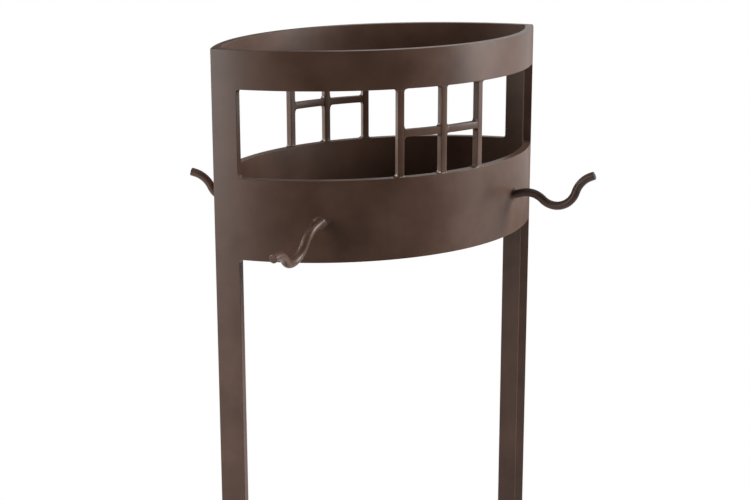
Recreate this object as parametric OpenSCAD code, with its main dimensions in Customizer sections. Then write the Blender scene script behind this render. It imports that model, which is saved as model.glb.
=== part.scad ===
// Raised fire basket on strip legs, with a lift-out grate and ash pan.
//
// The plan is a pointed oval: two equal arcs of bent plate that meet at a
// corner on the left and on the right. X runs from corner to corner, Y from
// front to back and Z up. The origin is on the floor, in the middle of the
// plan. The back half is the front half turned half a turn about Z.

/* [Plan] */
// Distance between the two corners, over the outside of the plate
chord = 356; // [300:2:420]
// Depth of the plan across its middle, over the outside of the plate
depth = 196; // [170:2:230]
// Thickness of the plate that the bands and the legs are made of
plate = 8; // [5:0.5:10]

/* [Heights] */
// Height of the top rim above the floor
height = 760; // [600:5:900]
// Height of the band round the rim
top_band_h = 35; // [25:1:60]
// Clear height of the windows between the bands
window_h = 80; // [60:1:110]
// Height of the band round the fire
fire_band_h = 75; // [60:1:110]
// Height of the band round the foot
base_band_h = 40; // [25:1:70]

/* [Legs] */
// Width of one leg strip, measured round the outside of the plate
leg_w = 24.5; // [18:0.5:34]

/* [Window bars] */
// Side of the square bars in the windows
bar = 6.5; // [4:0.5:8]
// Distance between upright bars, centre to centre
bar_pitch = 43.5; // [30:0.5:50]
// Distance of the middle upright bar from the middle of the plate
bar_shift = 5.5; // [-20:0.5:20]

/* [Tool hooks] */
// Diameter of the rod that the hooks are bent from
hook_rod = 8; // [5:0.5:10]
// Distance of the front hooks' roots in from the corner, along X
hook_inset = 71; // [58:1:88]
// Distance of the back hooks' roots in from the corner, along X
back_hook_inset = 105; // [88:1:116]
// Height of the hooks above the lower edge of the fire band
hook_rise = 38; // [24:1:48]
// Straight stretch of rod next to the band
hook_root = 9.5; // [5:0.5:20]
// Radius of the bend that leads down into the cup
hook_lead_r = 22; // [14:0.5:30]
// Angle of the bend that leads down into the cup, in degrees
hook_lead_angle = 56; // [40:1:65]
// Radius of the cup
hook_cup_r = 20; // [12:0.5:26]
// Angle of the cup's bend, in degrees
hook_cup_angle = 115; // [95:1:130]
// Radius of the bend that lays the tip outwards
hook_tip_r = 25; // [14:0.5:30]
// Angle of the bend that lays the tip outwards, in degrees
hook_tip_angle = 51; // [30:1:70]
// Straight stretch of rod at the tip
hook_tail = 3.5; // [2:0.5:15]

/* [Grate] */
// Diameter of the rod bent round the edge of the grate
ring_rod = 8; // [6:0.5:10]
// Diameter of the cross bars
cross_rod = 6; // [4:0.5:8]
// Distance between cross bars, centre to centre
cross_pitch = 22; // [18:1:26]
// Clearance all round between the grate and the plate
grate_clear = 3; // [2:0.5:6]
// Diameter of the rod that the lifting loops are bent from
loop_rod = 6; // [4:0.5:7]
// Height of the lifting loops above the cross bars
loop_h = 22; // [16:1:30]
// Width of the lifting loops over the rod's middle
loop_w = 50; // [36:1:60]
// Radius of the bends in the lifting loops
loop_r = 9; // [6:0.5:12]

/* [Ash pan] */
// Thickness of the pan's sheet
pan_sheet = 1.5; // [1:0.25:2.5]
// Depth of the pan, from the underside of its rim to the underside of its floor
pan_depth = 16; // [12:0.5:24]
// Width of the pan's rim
pan_rim = 12; // [9:0.5:16]
// How far the pan's wall leans in between the rim and the floor
pan_lean = 8; // [4:0.5:14]
// Clearance all round between the pan's rim and the plate
pan_clear = 1.5; // [1:0.25:3]
// Diameter of the rod that the pan's grips are bent from
grip_rod = 5; // [4:0.5:6]
// Width of the pan's grips over the rod's middle
grip_w = 56; // [40:1:64]
// Distance of the pan's grips from the middle, along X
grip_x = 77; // [60:1:90]

/* [Pan lugs] */
// Height of the lugs' top face above the lower edge of the fire band
lug_rise = 10; // [8:0.5:16]
// Thickness of the lugs
lug_t = 4; // [3:0.5:6]
// Width of the lugs along the band
lug_w = 22; // [14:1:30]
// Distance of the outer lugs in from the corner, along X
lug_inset = 72; // [60:1:100]
// Gap between the end of a lug and the pan's wall
lug_gap = 3; // [2:0.5:5]

/* [Foot] */
// Thickness of the shelf inside the base band
shelf_t = 3; // [2:0.5:5]
// Height of the shelf's underside above the lower edge of the base band
shelf_rise = 6; // [2:0.5:15]
// Diameter of the feet
foot_d = 28; // [20:1:36]
// Height of the feet
foot_h = 6; // [4:0.5:12]
// Distance of the feet in from the corner, along X
foot_inset = 66; // [53:1:98]

/* [Hidden] */
$fn = 96;
SEAT = 0.3;                 // gap under the grate, where its round rod lies on the pan's rim
ROD_SIDES = 20;             // sides of a hook's rod
ROD_STEP_TURN = 9;          // most that a hook's rod turns from one ring of sides to the next

// The arcs of the plan. Each arc's centre lies beyond the opposite arc.
R = (chord * chord / 4 + depth * depth / 4) / depth;
ARC_Y = R - depth / 2;
CORNER_ANGLE = asin(chord / 2 / R);
LEG_ANGLE = leg_w / R * 180 / PI;
BAND_ANGLE = CORNER_ANGLE - LEG_ANGLE;
PAST_CORNER = 4;            // degrees that an arc runs on before its mitre is cut
WALL = max(plate, bar);     // what stands furthest in

// Levels, from the top down.
TOP_BAND_Z = height - top_band_h;
WINDOW_Z = TOP_BAND_Z - window_h;
FIRE_BAND_Z = WINDOW_Z - fire_band_h;
LUG_Z = FIRE_BAND_Z + lug_rise;
PAN_FLOOR_Z = LUG_Z - pan_depth;
RING_Z = LUG_Z + pan_sheet + SEAT + ring_rod / 2;

// The three upright bars of a window, as angles round the plate.
BAR_R = R - bar / 2;
BAR_ANGLES = [for (i = [-1:1]) (bar_shift + i * bar_pitch) / BAR_R * 180 / PI];
BAR_HALF = bar / 2 / BAR_R * 180 / PI;

// The grate. Its cross bars stop short of the corners, where the ring narrows.
RING_R = R - WALL - grate_clear - ring_rod / 2;
RING_CORNER_X = sqrt(RING_R * RING_R - ARC_Y * ARC_Y);
CROSS_SIDE = floor((RING_CORNER_X - cross_pitch) / cross_pitch);
LOOP_SIDE = 4;              // the loops stand on the fourth cross bar from the middle

// The pan, as distances in from the outside of the plate.
RIM_OUT = WALL + pan_clear;
RIM_IN = RIM_OUT + pan_rim;
FLOOR_IN = RIM_IN + pan_lean;
LUG_REACH = RIM_IN - plate - lug_gap;
GRIP_H = pan_depth - pan_sheet - grip_rod / 2 - 0.5;

// One row per hook: name, whether it is on the back, which end of its plate
// (-1 or 1), then how far it is swung towards its corner, tipped up and leant
// over, in degrees.
HOOKS = [
    ["hook_front_left", false, -1, 30, -13, -12],
    ["hook_front_right", false, 1, 4, 15, -4],
    ["hook_back_left", true, 1, 27, 6, 0],
    ["hook_back_right", true, -1, 28, 4, 3],
];
SIDES = ["front", "back"];
ENDS = ["left", "right"];
BARS = ["first", "middle", "last"];
LUGS = ["left", "middle", "right"];

BRONZE = "#5b4a43";
BLACKENED = "#3d3a38";
ASH_GREY = "#4a4745";

function cross_name(i) =
    i == 0 ? "grate_bar_middle" : str("grate_bar_", i < 0 ? "left_" : "right_", abs(i));

// ---- Shapes that the parts share -------------------------------------------

// Turns a front piece half a turn, on to the back.
module on_side(side) {
    rotate([0, 0, side == "back" ? 180 : 0]) children();
}

// Keeps what lies in the front half, so that arcs meet in a mitre at y = 0.
module front_half() {
    intersection() {
        children();
        translate([-chord, -depth, -height]) cube([2 * chord, depth, 3 * height]);
    }
}

// A profile swept round the front arc, from one angle to another. Angles
// start at the middle of the front and grow towards +X, and the profile's x
// is its distance from the arc's centre.
module round_front(from, to) {
    translate([0, ARC_Y, 0])
        rotate([0, 0, from - 90])
            rotate_extrude(angle = to - from, $fn = 180)
                children();
}

// A strip of the plate between two angles, from z up to z + h.
module front_plate(from, to, z, h, t = plate) {
    round_front(from, to)
        translate([R - t, z])
            square([t, h]);
}

// The pointed oval, drawn in by a distance that may differ at top and bottom.
module oval(z, h, in_bottom, in_top) {
    intersection_for (side = [-1, 1])
        translate([0, side * ARC_Y, z])
            cylinder(h = h, r1 = R - in_bottom, r2 = R - in_top, $fn = 180);
}

// The steps that a bent rod takes, as [length, turn]. A straight stretch is
// written [length] and a bend [radius, turn], upwards if turn > 0, and a bend
// is cut into chords that turn half before and half after.
function short_steps(bends) = [
    for (b = bends)
        let (n = len(b) == 1 ? 1 : ceil(abs(b[1]) / ROD_STEP_TURN),
             turn = len(b) == 1 ? 0 : b[1] / n / 2)
            for (i = [1:n])
                [len(b) == 1 ? b[0] : 2 * b[0] * sin(abs(turn)), turn]
];

// The places that the steps lead through, as [x, z, heading].
function walk(steps, at = [0, 0, 0], i = 0) =
    i == len(steps) ? [at] :
    let (length = steps[i][0], turn = steps[i][1], way = at[2] + turn)
        concat([at], walk(steps, [
            at[0] + length * cos(way),
            at[1] + length * sin(way),
            way + turn
        ], i + 1));

// A rod that starts at the origin towards +X and is bent in the plane of X and Z.
module bent_rod(d, bends) {
    path = walk(short_steps(bends));
    end = len(path) - 1;
    round_the_rod = [0:ROD_SIDES - 1];
    points = [
        for (at = path, k = round_the_rod)
            let (up = d / 2 * cos(k * 360 / ROD_SIDES), across = d / 2 * sin(k * 360 / ROD_SIDES))
                [at[0] - up * sin(at[2]), across, at[1] + up * cos(at[2])]
    ];
    walls = [
        for (i = [0:end - 1], k = round_the_rod)
            let (next = (k + 1) % ROD_SIDES, near = i * ROD_SIDES, far = near + ROD_SIDES)
                [near + k, far + k, far + next, near + next]
    ];
    caps = [
        [for (k = round_the_rod) k],
        [for (k = [ROD_SIDES - 1:-1:0]) end * ROD_SIDES + k]
    ];
    polyhedron(points, concat(walls, caps), convexity = 6);
}

// A loop of rod that stands on its two ends across Y, w wide and h high over
// the rod's middle.
module standing_loop(d, w, h, r) {
    for (side = [0, 1])
        mirror([0, side, 0])
            translate([0, w / 2 - r, 0]) {
                translate([0, r, 0])
                    cylinder(d = d, h = h - r, $fn = 32);
                translate([0, 0, h - r])
                    rotate([90, 0, 90])
                        rotate_extrude(angle = 90)
                            translate([r, 0])
                                circle(d = d, $fn = 32);
            }
    translate([0, w / 2 - r, h])
        rotate([90, 0, 0])
            cylinder(d = d, h = w - 2 * r, $fn = 32);
}

// ---- The stand ---------------------------------------------------------------

module top_band() {
    color(BRONZE) front_plate(-BAND_ANGLE, BAND_ANGLE, TOP_BAND_Z, top_band_h);
}

module fire_band() {
    color(BRONZE) front_plate(-BAND_ANGLE, BAND_ANGLE, FIRE_BAND_Z, fire_band_h);
}

module base_band() {
    color(BRONZE) front_plate(-BAND_ANGLE, BAND_ANGLE, foot_h, base_band_h);
}

// One strip of a leg. Two strips meet in a mitre and make a V at each corner.
module leg(end) {
    color(BRONZE)
        front_half()
            if (end == "left")
                front_plate(-CORNER_ANGLE - PAST_CORNER, -BAND_ANGLE, foot_h, height - foot_h);
            else
                front_plate(BAND_ANGLE, CORNER_ANGLE + PAST_CORNER, foot_h, height - foot_h);
}

// A square upright bar, flush with the outside of the plate.
module window_bar(i) {
    color(BRONZE)
        front_plate(BAR_ANGLES[i] - BAR_HALF, BAR_ANGLES[i] + BAR_HALF,
                    WINDOW_Z, window_h, bar);
}

// A square bar between two uprights, half way up the window.
module window_rail(end) {
    first = end == "left" ? 0 : 1;
    color(BRONZE)
        front_plate(BAR_ANGLES[first] + BAR_HALF, BAR_ANGLES[first + 1] - BAR_HALF,
                    WINDOW_Z + (window_h - bar) / 2, bar, bar);
}

// A hook bent from rod, its root cut to the curve of the band.
module hook(h) {
    x = h[2] * (chord / 2 - (h[1] ? back_hook_inset : hook_inset));
    root = [x, ARC_Y - sqrt(R * R - x * x), FIRE_BAND_Z + hook_rise];
    facing = asin(x / R) - 90 + h[2] * h[3];
    color(BRONZE)
        on_side(h[1] ? "back" : "front")
            difference() {
                translate(root)
                    rotate([0, 0, facing])
                        rotate([0, -h[4], 0])
                            rotate([h[5], 0, 0])
                                translate([-hook_rod, 0, 0])
                                    bent_rod(hook_rod, [
                                        [hook_rod + hook_root],
                                        [hook_lead_r, -hook_lead_angle],
                                        [hook_cup_r, hook_cup_angle],
                                        [hook_tip_r, -hook_tip_angle],
                                        [hook_tail],
                                    ]);
                translate([0, ARC_Y, FIRE_BAND_Z])
                    cylinder(r = R, h = fire_band_h, $fn = 180);
            }
}

// A flat lug on the inside of the fire band that the pan's rim rests on.
module pan_lug(i) {
    inner_r = R - plate;
    angle = (i - 1) * asin((chord / 2 - lug_inset) / inner_r);
    color(BRONZE)
        intersection() {
            translate([0, ARC_Y, LUG_Z - lug_t])
                rotate([0, 0, angle - 90])
                    translate([inner_r - LUG_REACH, -lug_w / 2, 0])
                        cube([LUG_REACH + plate / 2, lug_w, lug_t]);
            translate([0, ARC_Y, LUG_Z - 2 * lug_t])
                cylinder(r = inner_r, h = 3 * lug_t, $fn = 180);
        }
}

module shelf() {
    color(BRONZE) oval(foot_h + shelf_rise, shelf_t, plate, plate);
}

module foot(end) {
    x = (end == "left" ? -1 : 1) * (chord / 2 - foot_inset);
    mid_r = R - plate / 2;
    color(BRONZE)
        translate([x, ARC_Y - sqrt(mid_r * mid_r - x * x), 0])
            cylinder(d = foot_d, h = foot_h);
}

// ---- The ash pan -------------------------------------------------------------

// A shallow pan with leaning walls, and a flat rim that rests on the lugs.
module ash_pan() {
    wall_h = LUG_Z - PAN_FLOOR_Z;
    color(ASH_GREY)
        difference() {
            union() {
                oval(LUG_Z, pan_sheet, RIM_OUT, RIM_OUT);
                oval(PAN_FLOOR_Z, wall_h, FLOOR_IN, RIM_IN);
            }
            oval(PAN_FLOOR_Z + pan_sheet, wall_h, FLOOR_IN + pan_sheet, RIM_IN + pan_sheet);
        }
}

module pan_grip(end) {
    color(ASH_GREY)
        translate([end == "left" ? -grip_x : grip_x, 0, PAN_FLOOR_Z + pan_sheet])
            standing_loop(grip_rod, grip_w, GRIP_H, grip_rod);
}

// ---- The grate ---------------------------------------------------------------

module grate_ring_half() {
    front_half()
        round_front(-CORNER_ANGLE, CORNER_ANGLE)
            translate([RING_R, RING_Z])
                circle(d = ring_rod, $fn = 32);
}

module grate_ring(side) {
    color(BLACKENED) on_side(side) grate_ring_half();
}

module cross_rod_at(i) {
    x = i * cross_pitch;
    half = sqrt(RING_R * RING_R - x * x) - ARC_Y;
    translate([x, half, RING_Z])
        rotate([90, 0, 0])
            cylinder(d = cross_rod, h = 2 * half, $fn = 32);
}

// A cross bar, its ends cut to the curve of the ring.
module grate_bar(i) {
    color(BLACKENED)
        difference() {
            cross_rod_at(i);
            for (side = SIDES) on_side(side) grate_ring_half();
        }
}

// A loop to lift the grate by, its ends cut to the curve of its cross bar.
module grate_loop(end) {
    i = end == "left" ? -LOOP_SIDE : LOOP_SIDE;
    color(BLACKENED)
        difference() {
            translate([i * cross_pitch, 0, RING_Z])
                standing_loop(loop_rod, loop_w, cross_rod / 2 + loop_h, loop_r);
            cross_rod_at(i);
        }
}

// ---- The nodes ---------------------------------------------------------------

for (s = SIDES) {
    on_side(s) top_band();
    on_side(s) fire_band();
    on_side(s) base_band();
    for (e = ENDS) {
        on_side(s) leg(e);
        on_side(s) window_rail(e);
        on_side(s) foot(e);
    }
    for (i = [0:2]) {
        on_side(s) window_bar(i);
        on_side(s) pan_lug(i);
    }
    grate_ring(s);
}
for (h = HOOKS)
    hook(h);
shelf();
ash_pan();
for (e = ENDS) {
    pan_grip(e);
    grate_loop(e);
}
for (i = [-CROSS_SIDE:CROSS_SIDE])
    grate_bar(i);
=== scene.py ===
"""Looks of a raised fire basket: a pointed oval of bent steel bands on strip legs, with a grate and an ash
pan that lift out."""

import math
from itertools import product

import bpy
import numpy as np
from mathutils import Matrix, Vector


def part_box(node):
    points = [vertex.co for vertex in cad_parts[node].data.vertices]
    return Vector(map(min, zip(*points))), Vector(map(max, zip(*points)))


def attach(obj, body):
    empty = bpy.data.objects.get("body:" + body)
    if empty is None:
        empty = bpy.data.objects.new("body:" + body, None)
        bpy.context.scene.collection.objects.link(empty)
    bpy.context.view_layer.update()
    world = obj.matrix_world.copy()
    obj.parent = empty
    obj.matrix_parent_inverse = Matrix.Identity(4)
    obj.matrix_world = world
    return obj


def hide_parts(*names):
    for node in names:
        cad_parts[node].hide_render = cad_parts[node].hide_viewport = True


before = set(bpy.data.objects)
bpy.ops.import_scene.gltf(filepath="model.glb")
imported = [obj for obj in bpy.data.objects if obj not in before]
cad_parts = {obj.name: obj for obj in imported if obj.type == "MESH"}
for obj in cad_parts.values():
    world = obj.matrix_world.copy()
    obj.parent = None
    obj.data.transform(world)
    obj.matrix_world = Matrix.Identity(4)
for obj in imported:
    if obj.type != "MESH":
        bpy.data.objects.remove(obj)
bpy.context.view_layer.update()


# ---- The welded shell ---------------------------------------------------------
# Bands and leg strips of 8 mm hot-rolled plate, bent to two arcs that meet in a
# sharp corner. The joints are welded and ground flush, so that the plate reads
# as one sheet with windows in it, and every edge is broken with a flap disc.

MM = 0.001

RIM_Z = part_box("top_band_front")[1].z
TOP_BAND_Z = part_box("top_band_front")[0].z
FIRE_BAND_TOP_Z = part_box("fire_band_front")[1].z
FIRE_BAND_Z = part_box("fire_band_front")[0].z
BASE_BAND_TOP_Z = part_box("base_band_front")[1].z
BASE_BAND_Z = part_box("base_band_front")[0].z
HALF_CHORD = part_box("leg_front_right")[1].x
HALF_DEPTH = -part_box("top_band_front")[0].y
PLATE = 8 * MM
CORNER_FILLET = 3 * MM
BROKEN_EDGE = 0.9 * MM
SHARP_FROM = math.radians(40)  # an edge that turns by more than this is broken or filed

# how finely the plate is divided: round a band, round a leg strip, up an opening and round a fillet
BAND_COLUMNS = 99
LEG_COLUMNS = 4
OPENING_ROWS = 8
FILLET_STEPS = 6

# The plan's two arcs, from their chord and their rise.
ARC_R = (HALF_CHORD**2 + HALF_DEPTH**2) / (2 * HALF_DEPTH)
ARC_Y = ARC_R - HALF_DEPTH
CORNER_ANGLE = math.asin(HALF_CHORD / ARC_R)
BAND_ANGLE = math.asin(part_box("top_band_front")[1].x / ARC_R)


def on_arc(angle, inset, z, back=False):
    """Points on the plate, from an angle round the front arc from its middle, a depth in from its outside
    and a height: the sine and the cosine of the angle, times the arc's radius less the depth. The back is
    the front turned half a turn about Z."""
    angle, inset, z = np.broadcast_arrays(angle, inset, z)
    side = -1 if back else 1
    r = ARC_R - inset
    return np.stack([side * r * np.sin(angle), side * (ARC_Y - r * np.cos(angle)), z], axis=-1)


def linear(hex_code):
    """A colour for a shader from its sRGB hex code. Each channel is divided by 12.92 near black, and raised
    to the power of 2.4 above that."""
    s = np.array([int(hex_code[i : i + 2], 16) / 255 for i in (1, 3, 5)])
    rgb = np.where(s <= 0.04045, s / 12.92, ((s + 0.055) / 1.055) ** 2.4)
    return (*rgb, 1.0)


def add(tree, kind, sockets, **settings):
    """Adds a shader node with its own settings. A socket takes a value or another node's output."""
    node = tree.nodes.new("ShaderNode" + kind)
    for name, value in settings.items():
        setattr(node, name, value)
    for name, value in sockets.items():
        if isinstance(value, bpy.types.NodeSocket):
            tree.links.new(value, node.inputs[name])
        else:
            node.inputs[name].default_value = value
    return node


def new_material(name):
    """An empty material, its node tree, and the output node that its shader goes to."""
    material = bpy.data.materials.new(name)
    material.use_nodes = True
    tree = material.node_tree
    tree.nodes.clear()
    return material, tree, add(tree, "OutputMaterial", {})


def satin_bronze_powder_coat():
    """Polyester powder, sprayed and baked. It is satin, with a fine orange peel from the melted grains, a
    faint cloudiness where the film is thicker, and the odd nib of dust under the film."""
    cloud_size = 45 * MM
    peel_wave = 2.4 * MM  # it is 1.6 mm on the real film, and drawn coarser so that it shows
    nib_spacing = 26 * MM
    material, tree, output = new_material("satin_bronze_powder_coat")
    place = add(tree, "TexCoord", {}).outputs["Object"]
    cloud = add(tree, "TexNoise", {"Vector": place, "Scale": 1 / cloud_size,
                                   "Detail": 3.0, "Roughness": 0.55})
    colour = add(tree, "ValToRGB", {"Fac": cloud.outputs["Fac"]})
    ramp = colour.color_ramp.elements
    ramp[0].position, ramp[0].color = 0.3, linear("#503a2f")
    ramp[1].position, ramp[1].color = 0.7, linear("#654c3f")
    rough = add(tree, "MapRange", {"Value": cloud.outputs["Fac"], "To Min": 0.33, "To Max": 0.4})
    peel = add(tree, "TexNoise", {"Vector": place, "Scale": 1 / peel_wave, "Detail": 1.0})
    nib = add(tree, "TexVoronoi", {"Vector": place, "Scale": 1 / nib_spacing})
    nib_height = add(tree, "MapRange", {"Value": nib.outputs["Distance"], "From Max": 0.03,
                                        "To Min": 1.0, "To Max": 0.0})
    skin = add(tree, "Bump", {"Height": peel.outputs["Fac"], "Strength": 0.12, "Distance": 0.12 * MM})
    nibs = add(tree, "Bump", {"Height": nib_height.outputs["Result"], "Normal": skin.outputs["Normal"],
                              "Strength": 0.4, "Distance": 0.3 * MM})
    coat = add(tree, "BsdfPrincipled", {
        "Base Color": colour.outputs["Color"],
        "Roughness": rough.outputs["Result"],
        "Specular IOR Level": 0.3,
        "Normal": nibs.outputs["Normal"],
    })
    tree.links.new(coat.outputs["BSDF"], output.inputs["Surface"])
    return material


def make_piece(name, points, faces, material, body, stands_for=()):
    """A smooth mesh piece, placed by its points, that rides on a body and may stand for CAD nodes."""
    mesh = bpy.data.meshes.new(name)
    mesh.from_pydata(np.asarray(points, float).reshape(-1, 3).tolist(), [], [tuple(f) for f in faces])
    mesh.materials.append(material)
    mesh.shade_smooth()
    piece = bpy.data.objects.new(name, mesh)
    bpy.context.scene.collection.objects.link(piece)
    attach(piece, body)
    if stands_for:
        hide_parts(*stands_for)
    return piece


def near(values, wanted):
    """The place in an array of the value that differs least from the wanted one."""
    return int(np.argmin(np.abs(values - wanted)))


bronze = satin_bronze_powder_coat()

# Lines across the plate, as distances round the outside of the arc, and up it.
corner_s = ARC_R * CORNER_ANGLE
band_s = ARC_R * BAND_ANGLE
across = np.unique(np.concatenate([
    np.linspace(-corner_s, -band_s, LEG_COLUMNS + 1),
    np.linspace(-band_s + CORNER_FILLET, band_s - CORNER_FILLET, BAND_COLUMNS + 1),
    np.linspace(band_s, corner_s, LEG_COLUMNS + 1),
]))
openings = [(BASE_BAND_TOP_Z, FIRE_BAND_Z), (FIRE_BAND_TOP_Z, TOP_BAND_Z)]
up = np.unique(np.concatenate([
    [BASE_BAND_Z, RIM_Z],
    *[np.linspace(low, high, OPENING_ROWS + 1) for low, high in openings],
    *[(low + CORNER_FILLET, high - CORNER_FILLET) for low, high in openings],
]))

# The cells of the plate, less those in the openings, for the front and then the back. The last column of
# one side is the first of the other.
mid_s = (across[1:] + across[:-1]) / 2
mid_z = (up[1:] + up[:-1]) / 2
open_rows = np.any([(mid_z > low) & (mid_z < high) for low, high in openings], axis=0)
solid = ~((np.abs(mid_s) < band_s)[:, None] & open_rows[None, :])
per_side = len(mid_s)
cells = np.argwhere(np.concatenate([solid, solid]))
column = np.array([cells[:, 0], cells[:, 0] + 1, cells[:, 0] + 1, cells[:, 0]]) % (2 * per_side)
row = np.array([cells[:, 1], cells[:, 1], cells[:, 1] + 1, cells[:, 1] + 1])
skin_faces = (column * len(up) + row).T.tolist()
side, place = np.divmod(np.arange(2 * per_side), per_side)

# The sheet's points laid flat: their distance round the arc, their height, and whether they are on the back.
flat_s = [np.repeat(across[place], len(up))]
flat_z = [np.tile(up, 2 * per_side)]
flat_back = [np.repeat(side == 1, len(up))]

# A fillet of weld in each corner of each opening, as a fan from the corner to an arc.
fan_turn = np.linspace(0, math.pi / 2, FILLET_STEPS + 1)[1:-1]
count = len(flat_s[0])
for back, (low, high), way_s, way_z in product((0, 1), openings, (1, -1), (1, -1)):
    corner = (-way_s * band_s, low if way_z > 0 else high)
    arc_s = corner[0] + way_s * CORNER_FILLET * (1 - np.sin(fan_turn))
    arc_z = corner[1] + way_z * CORNER_FILLET * (1 - np.cos(fan_turn))
    # the lowest points of the column through the corner, and of the one where the fillet begins
    here = (back * per_side + near(across, corner[0])) * len(up)
    beside = (back * per_side + near(across, corner[0] + way_s * CORNER_FILLET)) * len(up)
    hub = here + near(up, corner[1])
    rim = [beside + near(up, corner[1]),
           *range(count, count + len(arc_s)),
           here + near(up, corner[1] + way_z * CORNER_FILLET)]
    fan = [[hub, a, b] for a, b in zip(rim, rim[1:])]
    skin_faces += fan if way_s * way_z > 0 else [[hub, b, a] for hub, a, b in fan]
    flat_s.append(arc_s)
    flat_z.append(arc_z)
    flat_back.append(np.full(len(arc_s), back == 1))
    count += len(arc_s)
flat_s, flat_z, flat_back = (np.concatenate(part) for part in (flat_s, flat_z, flat_back))


def shell_skin(inset):
    """The sheet at a depth in from the outside: each angle is its distance round the outside over the arc's
    radius, and past the bands' ends the angles close up evenly to the mitre at the corner."""
    mitre_angle = math.acos(ARC_Y / (ARC_R - inset))
    angle = np.interp(flat_s, [-corner_s, -band_s, band_s, corner_s],
                      [-mitre_angle, -BAND_ANGLE, BAND_ANGLE, mitre_angle])
    front = on_arc(angle, inset, flat_z)
    return np.where(flat_back[:, None], front * [-1, -1, 1], front)


# The two skins are joined by a strip of faces along every edge that only one face has.
outline = {(a, b) for f in skin_faces for a, b in zip(f, f[1:] + f[:1])}
edges = [(a, b) for a, b in outline if (b, a) not in outline]
shell = make_piece(
    "welded_shell",
    np.concatenate([shell_skin(0), shell_skin(PLATE)]),
    skin_faces
    + [[count + v for v in reversed(f)] for f in skin_faces]
    + [[b, a, count + a, count + b] for a, b in sorted(edges)],
    bronze, "stand",
    [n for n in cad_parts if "_band_" in n or n.startswith("leg_")],
)
broken = shell.modifiers.new("broken_edges", "BEVEL")
broken.width = BROKEN_EDGE
broken.segments = 3
broken.angle_limit = SHARP_FROM
broken.harden_normals = True


# ---- Window bars and rails -----------------------------------------------------
# Quarter-inch square bar, sawn to length and set flush with the outside of the
# bands. Each end is welded all round, and the small fillet is left as it was laid.

BAR = 6.5 * MM
BAR_EDGE = 0.7 * MM
BAR_WELD = 2.2 * MM
# no two beads come out alike: each is this much smaller or larger, swells and sinks this much round the
# bar, in from three to five waves, and stands out less towards the inside of the basket
WELD_SPREAD = (0.75, 1.5)
WELD_RIPPLE = 0.4
WELD_WAVES = (3, 5)
WELD_INWARD = 0.6
WELD_SEED = 5
RAIL_Z = (TOP_BAND_Z + FIRE_BAND_TOP_Z) / 2


def rounded_square(radius, steps=4):
    """A square outline with round corners. For each of its two axes it gives the side that a point is on,
    as a sign, and how far it stands past the corner's centre: the radius times the cosine or the sine of a
    quarter turn."""
    turn = np.concatenate([np.linspace(q, q + 1, steps + 1) for q in range(4)]) * math.pi / 2
    quarter = np.repeat(np.arange(4), steps + 1)
    sign_a = np.array([1, -1, -1, 1])[quarter]
    sign_b = np.array([1, 1, -1, -1])[quarter]
    return sign_a, radius * np.cos(turn), sign_b, radius * np.sin(turn)


def fillet(from_end, size):
    """How far a fillet of weld stands out at a distance from the end of a bar: a hollow quarter circle."""
    from_end = np.clip(from_end, 0, size)
    return size - np.sqrt(size**2 - (size - from_end) ** 2)


def welded_ends(length, sides, welds, steps=7):
    """Places along a bar, close together where its welds are, and how far the weld stands out at each place
    and round each side of the bar: a fillet of chance size at each end, times one and a cosine ripple."""
    sizes = BAR_WELD * welds.uniform(*WELD_SPREAD, 2)
    waves = welds.integers(*WELD_WAVES, 2, endpoint=True)
    phases = welds.uniform(0, 2 * math.pi, 2)
    close = 1 - np.cos(np.linspace(0, math.pi / 2, steps + 1))
    first, last = sizes[0] * close, (length - sizes[1] * close)[::-1]
    along = np.concatenate([first, np.linspace(first[-1], last[0], steps + 1)[1:-1], last])
    around = np.linspace(0, 2 * math.pi, sides, endpoint=False)
    ripples = 1 + WELD_RIPPLE * np.cos(waves[:, None] * around + phases[:, None])
    at_first = fillet(along, sizes[0])[:, None] * ripples[0]
    at_last = fillet(length - along, sizes[1])[:, None] * ripples[1]
    return along, at_first + at_last


def tube_faces(rings, sides, closed=False):
    """Quads round a tube of rings, each from a point to the next one round and the next ring. It has a cap
    at each end, or its last ring is joined to its first."""
    i, k = np.meshgrid(np.arange(rings if closed else rings - 1), np.arange(sides), indexing="ij")
    after, beside = (i + 1) % rings, (k + 1) % sides
    walls = np.stack([i * sides + k, i * sides + beside, after * sides + beside, after * sides + k], axis=-1)
    caps = [list(range(sides))[::-1], list(range((rings - 1) * sides, rings * sides))]
    return walls.reshape(-1, 4).tolist() + ([] if closed else caps)


SIDES = {"front": False, "back": True}  # whether a piece is on the back
BARS = ("first", "middle", "last")

# Each bar stands at the mean of its corners' angles round the arc.
bar_angles = []
for which in BARS:
    low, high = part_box(f"window_bar_front_{which}")
    corners_x = np.array([low.x, high.x])
    bar_angles.append(float(np.mean(np.arcsin(corners_x / (ARC_R - BAR / 2)))))

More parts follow.
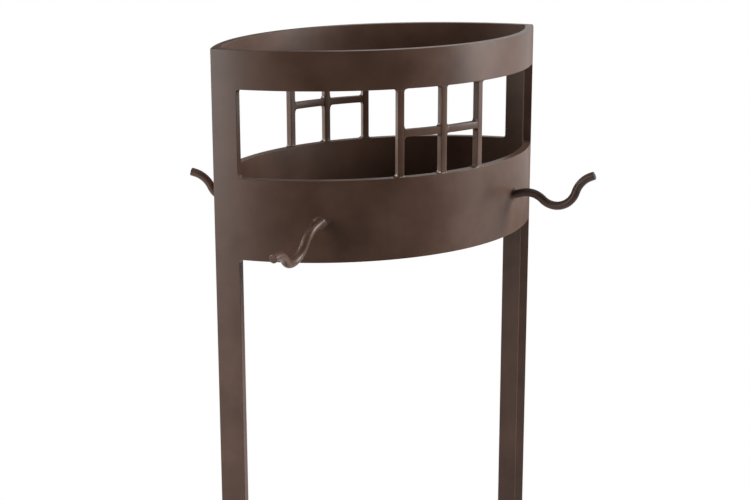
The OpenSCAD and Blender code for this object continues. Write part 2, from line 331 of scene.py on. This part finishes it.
sign_a, edge_a, sign_b, edge_b = rounded_square(BAR_EDGE)
welds = np.random.default_rng(WELD_SEED)
for side_name, back in SIDES.items():
    for angle, which in zip(bar_angles, BARS):
        along, flare = welded_ends(TOP_BAND_Z - FIRE_BAND_TOP_Z, len(sign_a), welds)
        sideways = sign_a * (BAR / 2 - BAR_EDGE + flare) + edge_a
        inwards = np.where(sign_b > 0, WELD_INWARD * flare, 0)
        depth = BAR / 2 + sign_b * (BAR / 2 - BAR_EDGE) + edge_b + inwards
        make_piece(
            f"bar_{side_name}_{which}",
            on_arc(angle + sideways / ARC_R, depth, FIRE_BAND_TOP_Z + along[:, None], back),
            tube_faces(len(along), len(sign_a)),
            bronze, "stand", [f"window_bar_{side_name}_{which}"],
        )
    for end_name, first in (("left", 0), ("right", 1)):
        start = bar_angles[first] + BAR / 2 / ARC_R
        length = (bar_angles[first + 1] - BAR / 2 / ARC_R - start) * ARC_R
        along, flare = welded_ends(length, len(sign_a), welds)
        upwards = sign_a * (BAR / 2 - BAR_EDGE + flare) + edge_a
        depth = BAR / 2 + sign_b * (BAR / 2 - BAR_EDGE) + edge_b
        make_piece(
            f"rail_{side_name}_{end_name}",
            on_arc(start + along[:, None] / ARC_R, depth, RAIL_Z + upwards, back),
            [f[::-1] for f in tube_faces(len(along), len(sign_a))],
            bronze, "stand", [f"window_rail_{side_name}_{end_name}"],
        )


# ---- Tool hooks ---------------------------------------------------------------
# Four hooks of 8 mm round rod, bent cold round a peg to an S and sawn off square.
# Each was set and welded to the fire band by eye, so no two of them stand alike.

HOOK_ROD = 8 * MM
FRONT_HOOK_INSET = 71 * MM
BACK_HOOK_INSET = 105 * MM
HOOK_RISE = 38 * MM
HOOK_WELD = 2.4 * MM
HOOK_SUNK = 0.6 * MM  # how deep the rod's first ring stands in the band
HOOK_SAWN_EDGE = 0.5 * MM
# how many rings stand in the root's weld, on from it to the first bend, and round the filed tip
HOOK_WELD_RINGS = 8
HOOK_ROOT_RINGS = 5
HOOK_TIP_RINGS = 4
# the ripples round the root's weld, each as a height, a number of waves and a phase
HOOK_RIPPLES = [(0.16, 9, 0.0), (0.1, 5, 1.0)]
SAME_PLACE = 0.01 * MM  # points that are nearer to each other than this are one
# straight stretches as a length, and bends as a radius and a turn, upwards if positive
HOOK_BENDS = [(9.5 * MM, 0), (22 * MM, -56), (20 * MM, 115), (25 * MM, -51), (3.5 * MM, 0)]
# which side and end of the plate, the root's distance in from the corner, then the
# swing towards the corner, the tip upwards and the lean over, in degrees
HOOKS = {
    "hook_front_left": (False, -1, FRONT_HOOK_INSET, 30, -13, -12),
    "hook_front_right": (False, 1, FRONT_HOOK_INSET, 4, 15, -4),
    "hook_back_left": (True, 1, BACK_HOOK_INSET, 27, 6, 0),
    "hook_back_right": (True, -1, BACK_HOOK_INSET, 28, 4, 3),
}


def bent_path(bends, step=2.5):
    """The middle line of a rod bent in the plane of X and Z, and its heading: each bend is cut into chords
    of a few degrees, and a place is the sum of the chords before it."""
    turns, lengths = [], []
    for size, turn in bends:
        count = max(4, math.ceil(abs(turn) / step))
        chord = 2 * size * math.sin(math.radians(abs(turn)) / count / 2) if turn else size / count
        turns += [math.radians(turn) / count] * count
        lengths += [chord] * count
    turns, lengths = np.array(turns), np.array(lengths)
    heading = np.cumsum(turns)
    aim = heading - turns / 2
    chords = lengths[:, None] * np.stack([np.cos(aim), 0 * turns, np.sin(aim)], axis=-1)
    return np.concatenate([[[0, 0, 0]], np.cumsum(chords, axis=0)]), np.concatenate([[0], heading])


def turned(axis, degrees):
    """The matrix of a turn about X, Y or Z, from the turn's cosine and sine."""
    c, s = math.cos(math.radians(degrees)), math.sin(math.radians(degrees))
    return np.array({"X": [[1, 0, 0], [0, c, -s], [0, s, c]],
                     "Y": [[c, 0, s], [0, 1, 0], [-s, 0, c]],
                     "Z": [[c, -s, 0], [s, c, 0], [0, 0, 1]]}[axis])


def hook_surface(end, inset, swing, tip, lean, sides=28):
    """A round rod carried along the bent path: each ring is the radius times the cosine of the turn round
    it, upwards, and times its sine, sideways. Near the root the radius grows by a hollow quarter circle of
    weld, with a ripple for each pause of the torch, and the rings slide along the rod by the root of a
    quadratic, which is how far they are from the band's round outside."""
    path, heading = bent_path(HOOK_BENDS)
    x = end * (HALF_CHORD - inset)
    root = np.array([x, ARC_Y - math.sqrt(ARC_R**2 - x**2), FIRE_BAND_Z + HOOK_RISE])
    bearing = math.degrees(math.asin(x / ARC_R)) - 90 + end * swing
    pose = turned("Z", bearing) @ turned("Y", -tip) @ turned("X", lean)

    # the straight root is cut afresh, with rings close together in the weld
    weld = HOOK_WELD * (1 - np.cos(np.linspace(0, math.pi / 2, HOOK_WELD_RINGS + 1)))
    straight = HOOK_BENDS[0][0]
    to_bend = np.linspace(HOOK_WELD, straight, HOOK_ROOT_RINGS + 1)[1:]
    root_x = np.concatenate([[-HOOK_SUNK], weld, to_bend])
    bent = path[:, 0] > straight + SAME_PLACE
    middle = np.concatenate([np.stack([root_x, 0 * root_x, 0 * root_x], axis=-1), path[bent]])
    heading = np.concatenate([0 * root_x, heading[bent]])
    radius = HOOK_ROD / 2 + fillet(middle[:, 0], HOOK_WELD)

    # the sawn tip has its burr filed off to a small round
    file_turn = np.linspace(0, math.pi / 2, HOOK_TIP_RINGS + 1)[1:]
    way = np.array([math.cos(heading[-1]), 0, math.sin(heading[-1])])
    middle = np.concatenate([middle, middle[-1] + HOOK_SAWN_EDGE * np.sin(file_turn)[:, None] * way])
    middle[-1 - len(file_turn) :] -= HOOK_SAWN_EDGE * way
    radius = np.concatenate([radius, HOOK_ROD / 2 - HOOK_SAWN_EDGE * (1 - np.cos(file_turn))])
    heading = np.concatenate([heading, np.full(len(file_turn), heading[-1])])

    around = np.linspace(0, 2 * math.pi, sides, endpoint=False)
    ripple = 1 + sum(height * np.cos(waves * around + phase) for height, waves, phase in HOOK_RIPPLES)
    # the ripple is only on what the weld and the file change, so the rod between them is round
    radius = HOOK_ROD / 2 + (radius - HOOK_ROD / 2)[:, None] * ripple
    upwards = np.stack([-np.sin(heading), 0 * heading, np.cos(heading)], axis=-1)[:, None, :]
    ring = np.cos(around)[:, None] * upwards + np.sin(around)[:, None] * np.array([0, -1, 0])
    points = (middle[:, None, :] + radius[..., None] * ring) @ pose.T + root

    # the rings slide less and less up to the end of the straight root
    along = pose @ [1, 0, 0]
    flat = points[..., :2] - [0, ARC_Y]
    a = along[0]**2 + along[1]**2
    b = flat @ along[:2]
    c = (flat**2).sum(axis=-1) - ARC_R**2
    reach = (-b + np.sqrt(b**2 - a * c)) / a
    follow = np.clip(1 - middle[:, 0] / straight, 0, 1)[:, None]
    follow[len(root_x) :] = 0
    slide = (reach + middle[:, :1]) * follow
    return points + slide[..., None] * along


for name, (back, *place) in HOOKS.items():
    surface = hook_surface(*place)
    rings, sides, _ = surface.shape
    make_piece(
        name.replace("hook", "bent_hook"),
        surface * [-1, -1, 1] if back else surface,
        tube_faces(rings, sides),
        bronze, "stand", [name],
    )


# ---- Feet, shelf and pan lugs -----------------------------------------------------
# Four discs turned from 28 mm bar, their edges eased, welded under the base band.
# The shelf is 3 mm plate let into the band, and the lugs are flats welded inside.

FOOT_EASE = 1.0 * MM


def turned_disc(centre, radius, height, ease, sides=64, steps=5):
    """A profile spun about an upright axis: a quarter circle at the lower edge, and one at the upper edge.
    The faces between them are the wall, and the caps at the ends are the flats."""
    turn = np.linspace(0, math.pi / 2, steps)
    profile_r = radius - ease + ease * np.concatenate([np.sin(turn), np.cos(turn)])
    profile_z = np.concatenate([ease - ease * np.cos(turn), height - ease + ease * np.sin(turn)])
    around = np.linspace(0, 2 * math.pi, sides, endpoint=False)
    ring = np.stack([np.cos(around), np.sin(around), 0 * around], axis=-1)
    return profile_r[:, None, None] * ring + profile_z[:, None, None] * np.array([0, 0, 1]) + centre


for side_name in SIDES:
    for end_name in ("left", "right"):
        node = f"foot_{side_name}_{end_name}"
        low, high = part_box(node)
        centre = [(low.x + high.x) / 2, (low.y + high.y) / 2, 0]
        disc = turned_disc(centre, (high.x - low.x) / 2, high.z, FOOT_EASE)
        rings, sides, _ = disc.shape
        make_piece(f"turned_{node}", disc, tube_faces(rings, sides), bronze, "stand", [node])

# The shelf and the lugs keep the shape of their solids, with the sawn edges filed.
FILED_EDGE = 0.6 * MM
for node in ["shelf"] + [f"pan_lug_{s}_{place}" for s in SIDES for place in ("left", "middle", "right")]:
    mesh = bpy.data.objects[node].data.copy()
    mesh.materials.clear()
    mesh.materials.append(bronze)
    piece = bpy.data.objects.new(f"filed_{node}", mesh)
    bpy.context.scene.collection.objects.link(piece)
    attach(piece, "stand")
    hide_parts(node)
    merged = piece.modifiers.new("merged", "WELD")
    merged.merge_threshold = SAME_PLACE
    filed = piece.modifiers.new("filed", "BEVEL")
    filed.width = FILED_EDGE
    filed.segments = 2
    filed.angle_limit = SHARP_FROM

STITCH = 30 * MM
STITCH_R = 2.6 * MM
STITCH_TAPER = 0.02  # the share of the half sine that is left off at each end, so that the ends stay blunt
CRESCENT = 1.9 * MM
CRESCENT_HEIGHT = 0.1  # as a share of the bead's radius
STITCH_ANGLES = np.radians([-42, -21, 0, 21, 42])
STITCH_STRAY = STITCH / 4 / ARC_R  # as an angle, to either side of its place
SHELF_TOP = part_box("shelf")[1].z


def stitch_weld(angle, phase, back, sides=12, rows=64):
    """A stitch of weld in the corner between the shelf and the band. It is a round bead along the arc whose
    radius tapers off as the root of a half sine, with a ripple of crescents left by the torch."""
    share = np.linspace(0, 1, rows)[:, None]
    around = np.linspace(0, 2 * math.pi, sides, endpoint=False)
    crescents = 1 + CRESCENT_HEIGHT * np.cos(2 * math.pi * share * STITCH / CRESCENT + phase)
    radius = STITCH_R * np.sqrt(np.sin(math.pi * (STITCH_TAPER + (1 - 2 * STITCH_TAPER) * share))) * crescents
    place = angle + (share - 0.5) * STITCH / (ARC_R - PLATE)
    return on_arc(place, PLATE + radius * np.cos(around), SHELF_TOP + radius * np.sin(around), back)


for side_name, back in SIDES.items():
    for number, angle in enumerate(STITCH_ANGLES, 1):
        place = angle + welds.uniform(-1, 1) * STITCH_STRAY
        bead = stitch_weld(place, welds.uniform(0, 2 * math.pi), back)
        make_piece(f"shelf_stitch_{side_name}_{number}", bead, tube_faces(*bead.shape[:2]), bronze,
                   "stand")


# ---- Ash pan ---------------------------------------------------------------------
# Pressed from 1.5 mm sheet and finished in stove black. The bends are round, and a
# film of fine ash lies on everything that faces up.

PAN_SHEET = 1.5 * MM
PAN_BEND = 3 * MM
PAN_RIM_OUT = 9.5 * MM
PAN_RIM_IN = 21.5 * MM
PAN_FLOOR_IN = 29.5 * MM
PAN_RIM_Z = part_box("ash_pan")[1].z
PAN_FLOOR_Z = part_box("ash_pan")[0].z
PAN_COLUMNS = 120
FLOOR_ROWS = 6


def stove_black():
    """Heat-proof black stove paint on pressed sheet: dead matt, a little chalky, greyed by ash where it
    faces up."""
    ash_drift = 22 * MM
    chalk_speck = 0.9 * MM
    material, tree, output = new_material("stove_black")
    place = add(tree, "TexCoord", {}).outputs["Object"]
    facing = add(tree, "SeparateXYZ", {0: add(tree, "NewGeometry", {}).outputs["Normal"]})
    drift = add(tree, "TexNoise", {"Vector": place, "Scale": 1 / ash_drift, "Detail": 5.0, "Roughness": 0.6})
    film = add(tree, "MapRange", {"Value": drift.outputs["Fac"], "From Min": 0.42, "From Max": 0.72,
                                  "To Max": 0.6})
    upward = add(tree, "MapRange", {"Value": facing.outputs["Z"], "From Min": 0.6, "From Max": 1.0})
    ash = add(tree, "Math", {0: film.outputs["Result"], 1: upward.outputs["Result"]}, operation="MULTIPLY")
    # sockets 6 and 7 are a Mix node's two colours, and output 2 is the mixed one
    colour = add(tree, "Mix", {"Factor": ash.outputs[0], 6: linear("#38342f"), 7: linear("#8b857e")},
                 data_type="RGBA")
    speck = add(tree, "TexNoise", {"Vector": place, "Scale": 1 / chalk_speck, "Detail": 2.0})
    skin = add(tree, "Bump", {"Height": speck.outputs["Fac"], "Strength": 0.25, "Distance": 0.1 * MM})
    paint = add(tree, "BsdfPrincipled", {
        "Base Color": colour.outputs[2],
        "Roughness": 0.72,
        "Specular IOR Level": 0.4,
        "Normal": skin.outputs["Normal"],
    })
    tree.links.new(paint.outputs["BSDF"], output.inputs["Surface"])
    return material


def rounded_corner(before, corner, after, radius, steps=5):
    """Points round the inside of a corner in a profile, on the arc that touches both its sides. From the
    arc's centre, its two ends are mixed by the sines of the turn still to go and of the turn made, over the
    sine of the whole."""
    before, corner, after = (np.array(p, float) for p in (before, corner, after))
    one, two = before - corner, after - corner
    one, two = one / np.linalg.norm(one), two / np.linalg.norm(two)
    half = math.acos(np.clip(one @ two, -1, 1)) / 2
    middle = corner + (one + two) / np.linalg.norm(one + two) * radius / math.sin(half)
    start = corner + one * radius / math.tan(half) - middle
    finish = corner + two * radius / math.tan(half) - middle
    share = np.linspace(0, 1, steps)[:, None]
    sweep = math.pi - 2 * half
    return middle + (np.sin((1 - share) * sweep) * start + np.sin(share * sweep) * finish) / math.sin(sweep)


black = stove_black()

# The middle of the sheet, as depths in from the arc and heights: rim, wall and the start of the floor.
rim = (PAN_RIM_OUT, PAN_RIM_Z - PAN_SHEET / 2)
fold = (PAN_RIM_IN, PAN_RIM_Z - PAN_SHEET / 2)
foot_of_wall = (PAN_FLOOR_IN, PAN_FLOOR_Z + PAN_SHEET / 2)
on_floor = (PAN_FLOOR_IN + PAN_BEND, PAN_FLOOR_Z + PAN_SHEET / 2)  # only its direction counts
profile = np.concatenate([
    [rim],
    rounded_corner(rim, fold, foot_of_wall, PAN_BEND),
    rounded_corner(fold, foot_of_wall, on_floor, PAN_BEND),
])
turn = np.linspace(-1, 1, PAN_COLUMNS + 1)[:, None]
mitre = np.arccos(ARC_Y / (ARC_R - profile[:, 0]))
wall = on_arc(turn * mitre, profile[:, 0], profile[:, 1])

# The floor's rows draw in from the foot of the wall to the line between the corners, where the halves meet.
drawn_in = [1, 0, 1] + np.linspace(1, 0, FLOOR_ROWS + 1)[1:, None] * [0, 1, 0]
half_pan = np.concatenate([wall, wall[:, -1:] * drawn_in], axis=1)
columns, rows = half_pan.shape[:2]
i, k = np.meshgrid(np.arange(columns - 1), np.arange(rows - 1), indexing="ij")
here, beside = i * rows + k, (i + 1) * rows + k
quads = np.stack([here, beside, beside + 1, here + 1], axis=-1).reshape(-1, 4)
both = np.concatenate([half_pan.reshape(-1, 3), half_pan.reshape(-1, 3) * [-1, -1, 1]])
pan = make_piece("pressed_ash_pan", both, np.concatenate([quads, quads + columns * rows]).tolist(),
                 black, "pan", ["ash_pan"])
weld_seam = pan.modifiers.new("join_halves", "WELD")
weld_seam.merge_threshold = SAME_PLACE
gauge = pan.modifiers.new("gauge", "SOLIDIFY")
gauge.thickness = PAN_SHEET
gauge.offset = 0


def standing_loop(node, bend, weld, sides=20, steps=8):
    """A loop of rod that stands along Y in a node's place: up from a foot, round a quarter circle, across,
    and the same down again. A bead of weld swells each foot by half a sine wave, a third as high as it is
    long."""
    low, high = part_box(node)
    rod = high.x - low.x
    leg_y, top = (high.y - low.y - rod) / 2, high.z - rod / 2
    bead = np.linspace(0, 1, steps + 1)
    turn = np.linspace(0, math.pi / 2, steps + 2)
    y = np.concatenate([leg_y + 0 * bead, leg_y - bend + bend * np.cos(turn)])
    z = np.concatenate([low.z + weld * bead, top - bend + bend * np.sin(turn)])
    heading = np.concatenate([0 * bead, turn])
    radius = rod / 2 + np.concatenate([weld / 3 * np.sin(math.pi * bead), 0 * turn])
    y = np.concatenate([y, -y[::-1]])
    z = np.concatenate([z, z[::-1]])
    heading = np.concatenate([heading, math.pi - heading[::-1]])
    radius = np.concatenate([radius, radius[::-1]])
    around = np.linspace(0, 2 * math.pi, sides, endpoint=False)
    outward = radius[:, None] * np.cos(around)
    return np.stack([
        (low.x + high.x) / 2 - radius[:, None] * np.sin(around),
        y[:, None] + outward * np.cos(heading)[:, None],
        z[:, None] + outward * np.sin(heading)[:, None],
    ], axis=-1)


GRIP_BEND = 5 * MM
GRIP_WELD = 3 * MM
for node in ("pan_grip_left", "pan_grip_right"):
    loop = standing_loop(node, GRIP_BEND, GRIP_WELD)
    make_piece(node.replace("grip", "loop"), loop, tube_faces(*loop.shape[:2]), black,
               "pan", [node])


# ---- Grate -----------------------------------------------------------------------
# A ring of 8 mm rod with 6 mm cross bars and two lifting loops, all left in the
# scale from the mill. The fire has burnt it blue-grey, with straw and soot.


def fire_blued_steel():
    """Hot-rolled rod that has been in the fire: thin blue-grey scale that shines a little, with straw and
    rust tints and soot."""
    heat_patch = 38 * MM
    flake = 2.5 * MM
    material, tree, output = new_material("fire_blued_steel")
    place = add(tree, "TexCoord", {}).outputs["Object"]
    heat = add(tree, "TexNoise", {"Vector": place, "Scale": 1 / heat_patch, "Detail": 4.0, "Roughness": 0.6})
    colour = add(tree, "ValToRGB", {"Fac": heat.outputs["Fac"]})
    ramp = colour.color_ramp.elements
    ramp[0].position, ramp[0].color = 0.32, linear("#3a3b40")
    ramp[1].position, ramp[1].color = 0.68, linear("#6b5a4a")
    middle = ramp.new(0.5)
    middle.color = linear("#504d4c")
    flakes = add(tree, "TexNoise", {"Vector": place, "Scale": 1 / flake, "Detail": 3.0, "Roughness": 0.6})
    rough = add(tree, "MapRange", {"Value": flakes.outputs["Fac"], "To Min": 0.4, "To Max": 0.7})
    pits = add(tree, "Bump", {"Height": flakes.outputs["Fac"], "Strength": 0.2, "Distance": 0.15 * MM})
    steel = add(tree, "BsdfPrincipled", {
        "Base Color": colour.outputs["Color"],
        "Metallic": 0.6,
        "Roughness": rough.outputs["Result"],
        "Normal": pits.outputs["Normal"],
    })
    tree.links.new(steel.outputs["BSDF"], output.inputs["Surface"])
    return material


blued = fire_blued_steel()
ring_low, ring_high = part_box("grate_ring_front")
RING_ROD = ring_high.z - ring_low.z
RING_Z = (ring_low.z + ring_high.z) / 2
RING_R = ARC_Y - ring_low.y - RING_ROD / 2
RING_WELD = 2.5 * MM
RING_WELD_RISE = 0.5 * MM
RING_WELD_REACH = 3 * RING_WELD  # where the bell curve has died away
RING_RIPPLE = 0.3
RING_WAVES = 5
RING_WELD_STEPS = 9
RING_STEPS = 59
RING_SIDES = 24
CROSS_WELD = 2.2 * MM
CROSS_WELD_RISE = 0.4
CROSS_WAVES = 4
CROSS_SUNK = 0.4 * MM  # how deep a bar's first outline stands in the ring
CROSS_STRAIGHT = 6 * MM  # the last outline near an end, where the bar is long since straight
LOOP_BEND = 9 * MM
LOOP_WELD = 3.6 * MM

# The ring is two bent rods with a mitred, welded corner at each end. The bead's
# rise over the rod falls off from the corner as a bell curve.
from_corner = np.concatenate([np.linspace(0, RING_WELD_REACH, RING_WELD_STEPS + 1)[:-1],
                              np.linspace(RING_WELD_REACH, RING_R * CORNER_ANGLE, RING_STEPS + 1)])
share = 1 - from_corner / from_corner[-1]
# from one corner, at -1, nearly to the other, at 1, with which the other half begins
share = np.concatenate([-share, share[::-1][1:]])[:-1, None]
from_corner = (1 - np.abs(share)) * RING_R * CORNER_ANGLE
around = np.linspace(0, 2 * math.pi, RING_SIDES, endpoint=False)
rise = RING_WELD_RISE * np.exp(-((from_corner / RING_WELD) ** 2))
tube_r = RING_ROD / 2 + rise * (1 + RING_RIPPLE * np.cos(RING_WAVES * around))
from_axis = RING_R + tube_r * np.cos(around)
half_ring = on_arc(share * np.arccos(ARC_Y / from_axis), ARC_R - from_axis, RING_Z - tube_r * np.sin(around))
ring = np.concatenate([half_ring, half_ring * [-1, -1, 1]])
make_piece("bent_ring", ring, tube_faces(*ring.shape[:2], closed=True), blued, "grate",
           ["grate_ring_front", "grate_ring_back"])


def cross_bar(x, rod, phase, sides=20, steps=6):
    """A round bar along Y, welded to the ring at both ends. Its outline widens into a fillet, more to the
    sides than up, and each point near an end is at the ring's round inside, less its distance from the end:
    the root of the inside's radius squared less the point's x squared."""
    in_weld = CROSS_WELD * (1 - np.cos(np.linspace(0, math.pi / 2, steps + 1)))
    from_end = np.concatenate([[-CROSS_SUNK], in_weld, [CROSS_STRAIGHT]])
    around = np.linspace(0, 2 * math.pi, sides, endpoint=False)
    out = fillet(from_end, CROSS_WELD)[:, None]
    ripple = 1 + WELD_RIPPLE * np.cos(CROSS_WAVES * around + phase)
    bar_x = x + (rod / 2 + out * ripple) * np.cos(around)
    above = (rod / 2 + CROSS_WELD_RISE * out) * np.sin(around)
    ring_inside = RING_R - np.sqrt((RING_ROD / 2) ** 2 - above**2)
    y = np.sqrt(ring_inside**2 - bar_x**2) - ARC_Y - from_end[:, None]
    back_end = np.stack([bar_x, y, RING_Z + above], axis=-1)
    return np.concatenate([back_end, back_end[::-1] * [1, -1, 1]])


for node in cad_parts:
    low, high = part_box(node)
    if node.startswith("grate_bar_"):
        bar = cross_bar((low.x + high.x) / 2, high.z - low.z, welds.uniform(0, 2 * math.pi))
        make_piece(node.replace("grate_bar", "cross_bar"), bar, tube_faces(*bar.shape[:2]), blued,
                   "grate", [node])
    if node.startswith("grate_loop_"):
        loop = standing_loop(node, LOOP_BEND, LOOP_WELD)
        make_piece(node.replace("grate", "lifting"), loop, tube_faces(*loop.shape[:2]), blued,
                   "grate", [node])


# ---- Floor, drapes, lights and camera ----------------------------------------------
# A pale studio floor with a white room round it, and three soft boxes: one at each
# side and one behind. Black drapes hang where the bronze has to reflect nothing.

FLOOR_HALF = 12.0
# the floor is painted up to the first distance and white from the second on, and is lightened by this much
NEAR_FLOOR = 350 * MM
FAR_FLOOR = 650 * MM
FLOOR_LIFT = 0.18


def seen_white(tree):
    """Whether a ray shows the background, as 1 or 0: it is a camera, a glossy or a transmission ray."""
    ray = add(tree, "LightPath", {}).outputs
    seen = add(tree, "Math", {0: ray["Is Camera Ray"], 1: ray["Is Glossy Ray"]}, operation="MAXIMUM")
    seen = add(tree, "Math", {0: seen.outputs[0], 1: ray["Is Transmission Ray"]}, operation="MAXIMUM")
    return seen.outputs[0]


def pale_floor():
    """Painted board that keeps the shadow of what stands on it, and runs out into the white of the room."""
    grain_size = 12 * MM
    material, tree, output = new_material("pale_floor")
    place = add(tree, "TexCoord", {}).outputs["Object"]
    grain = add(tree, "TexNoise", {"Vector": place, "Scale": 1 / grain_size, "Detail": 2.0})
    tone = add(tree, "Mix", {"Factor": grain.outputs["Fac"], 6: linear("#dedede"), 7: linear("#e2e2e2")},
               data_type="RGBA")
    paint = add(tree, "BsdfDiffuse", {"Color": tone.outputs[2]})
    seen = seen_white(tree)
    lift = add(tree, "Math", {0: seen, 1: FLOOR_LIFT}, operation="MULTIPLY")
    glow = add(tree, "Emission", {"Strength": lift.outputs[0]})
    lit = add(tree, "AddShader", {0: paint.outputs[0], 1: glow.outputs[0]})
    away = add(tree, "VectorMath", {0: place}, operation="LENGTH")
    far = add(tree, "MapRange", {"Value": away.outputs["Value"], "From Min": NEAR_FLOOR,
                                 "From Max": FAR_FLOOR}, interpolation_type="SMOOTHSTEP")
    out_of_reach = add(tree, "Math", {0: seen, 1: far.outputs["Result"]}, operation="MULTIPLY")
    white = add(tree, "Emission", {"Strength": 1.0})
    both = add(tree, "MixShader", {0: out_of_reach.outputs[0], 1: lit.outputs[0], 2: white.outputs[0]})
    tree.links.new(both.outputs[0], output.inputs["Surface"])
    return material


def black_drape():
    """Brushed black cloth: matt, with a faint nap."""
    nap_size = 4 * MM
    material, tree, output = new_material("black_drape")
    place = add(tree, "TexCoord", {}).outputs["Object"]
    nap = add(tree, "TexNoise", {"Vector": place, "Scale": 1 / nap_size})
    tone = add(tree, "Mix", {"Factor": nap.outputs["Fac"], 6: linear("#080808"), 7: linear("#101010")},
               data_type="RGBA")
    cloth = add(tree, "BsdfDiffuse", {"Color": tone.outputs[2]})
    tree.links.new(cloth.outputs[0], output.inputs["Surface"])
    return material


def stage_sheet(name, points, faces, material):
    """A sheet of the studio, which isn't part of the object."""
    mesh = bpy.data.meshes.new(name)
    mesh.from_pydata(points, [], faces)
    mesh.materials.append(material)
    sheet = bpy.data.objects.new(name, mesh)
    bpy.context.scene.collection.objects.link(sheet)
    return sheet


floor_corners = [(x * FLOOR_HALF, y * FLOOR_HALF, 0) for x, y in ((-1, -1), (1, -1), (1, 1), (-1, 1))]
stage_sheet("floor", floor_corners, [(0, 1, 2, 3)], pale_floor())

DRAPE_R = 1.5
DRAPE_COLUMNS = 23
# the bearings that each hangs between, in degrees from the front towards the right, and the heights
DRAPES = {
    "front_drape": ((-60, 43), (0.002, 3.4)),
    "low_drape": ((84, 120), (0.002, 0.3)),
    "right_drape": ((120, 155), (0.002, 0.9)),
    "rim_drape": ((151, 190), (0.9, 3.4)),
}
cloth = black_drape()
for name, (bearings, (hem_z, top_z)) in DRAPES.items():
    turn = np.radians(np.linspace(*bearings, DRAPE_COLUMNS + 1))
    hem = np.stack([DRAPE_R * np.sin(turn), -DRAPE_R * np.cos(turn), 0 * turn + hem_z], axis=-1)
    n = len(hem)
    drape = stage_sheet(name, np.concatenate([hem, hem + [0, 0, top_z - hem_z]]).tolist(),
                        [(i, i + 1, n + i + 1, n + i) for i in range(n - 1)], cloth)
    drape.visible_camera = False

ROOM_LIGHT = 0.2
world = bpy.data.worlds.new("studio")
bpy.context.scene.world = world
world.use_nodes = True
tree = world.node_tree
tree.nodes.clear()
room = add(tree, "Background", {"Color": linear("#ffffff"), "Strength": ROOM_LIGHT})
white = add(tree, "Background", {"Color": linear("#ffffff"), "Strength": 1.0})
mix = add(tree, "MixShader", {0: seen_white(tree), 1: room.outputs[0], 2: white.outputs[0]})
tree.links.new(mix.outputs[0], add(tree, "OutputWorld", {}).inputs["Surface"])

# each lamp's bearing, distance and height, then its width and height, and its power in watts
LAMPS = {
    "left_box": (-94, 1.7, 0.74, (1.0, 0.9), 15.5),
    "back_box": (-150, 1.7, 1.0, (0.6, 0.8), 24),
    "right_box": (59, 1.7, 1.1, (0.75, 0.9), 36),
}
LAMP_AIM = Vector((0, 0, 0.6))


def soft_box(name, bearing, distance, height, size, power):
    """A flat lamp that faces the upper half of the part. It stands at the sine and the cosine of its bearing,
    times its distance, with the bearing in degrees from the front towards the right."""
    lamp = bpy.data.lights.new(name, "AREA")
    lamp.shape = "RECTANGLE"
    lamp.size, lamp.size_y = size
    lamp.energy = power
    box = bpy.data.objects.new(name, lamp)
    bpy.context.scene.collection.objects.link(box)
    turn = math.radians(bearing)
    box.location = (distance * math.sin(turn), -distance * math.cos(turn), height)
    box.rotation_euler = (LAMP_AIM - box.location).to_track_quat("-Z", "Y").to_euler()
    return box


boxes = {name: soft_box(name, *row) for name, row in LAMPS.items()}

# The right lamp leaves out the hook that is nearest to it, as a flag would, and the hook stands dark
# against the white.
flagged = bpy.data.collections.new("flagged")
flagged.objects.link(bpy.data.objects["bent_hook_front_right"])
flagged.collection_objects[0].light_linking.link_state = "EXCLUDE"
boxes["right_box"].light_linking.receiver_collection = flagged

# The camera stands to the left of the front, above the rim, and looks down.
TURN = math.radians(32.15)
PITCH = math.radians(14.5)
DISTANCE = 8.43 * HALF_CHORD
ABOVE_RIM = 1.014 * HALF_CHORD
LENS = 76.7  # the focal length in millimetres
SHIFT = -0.0083  # sideways, as a share of the picture's width
camera_data = bpy.data.cameras.new("camera")
camera_data.lens = LENS
camera_data.shift_x = SHIFT
camera = bpy.data.objects.new("camera", camera_data)
bpy.context.scene.collection.objects.link(camera)
camera.location = (-DISTANCE * math.sin(TURN), -DISTANCE * math.cos(TURN), RIM_Z + ABOVE_RIM)
camera.rotation_euler = (math.pi / 2 - PITCH, 0, -TURN)
bpy.context.scene.camera = camera
bpy.context.scene.view_settings.view_transform = "Standard"
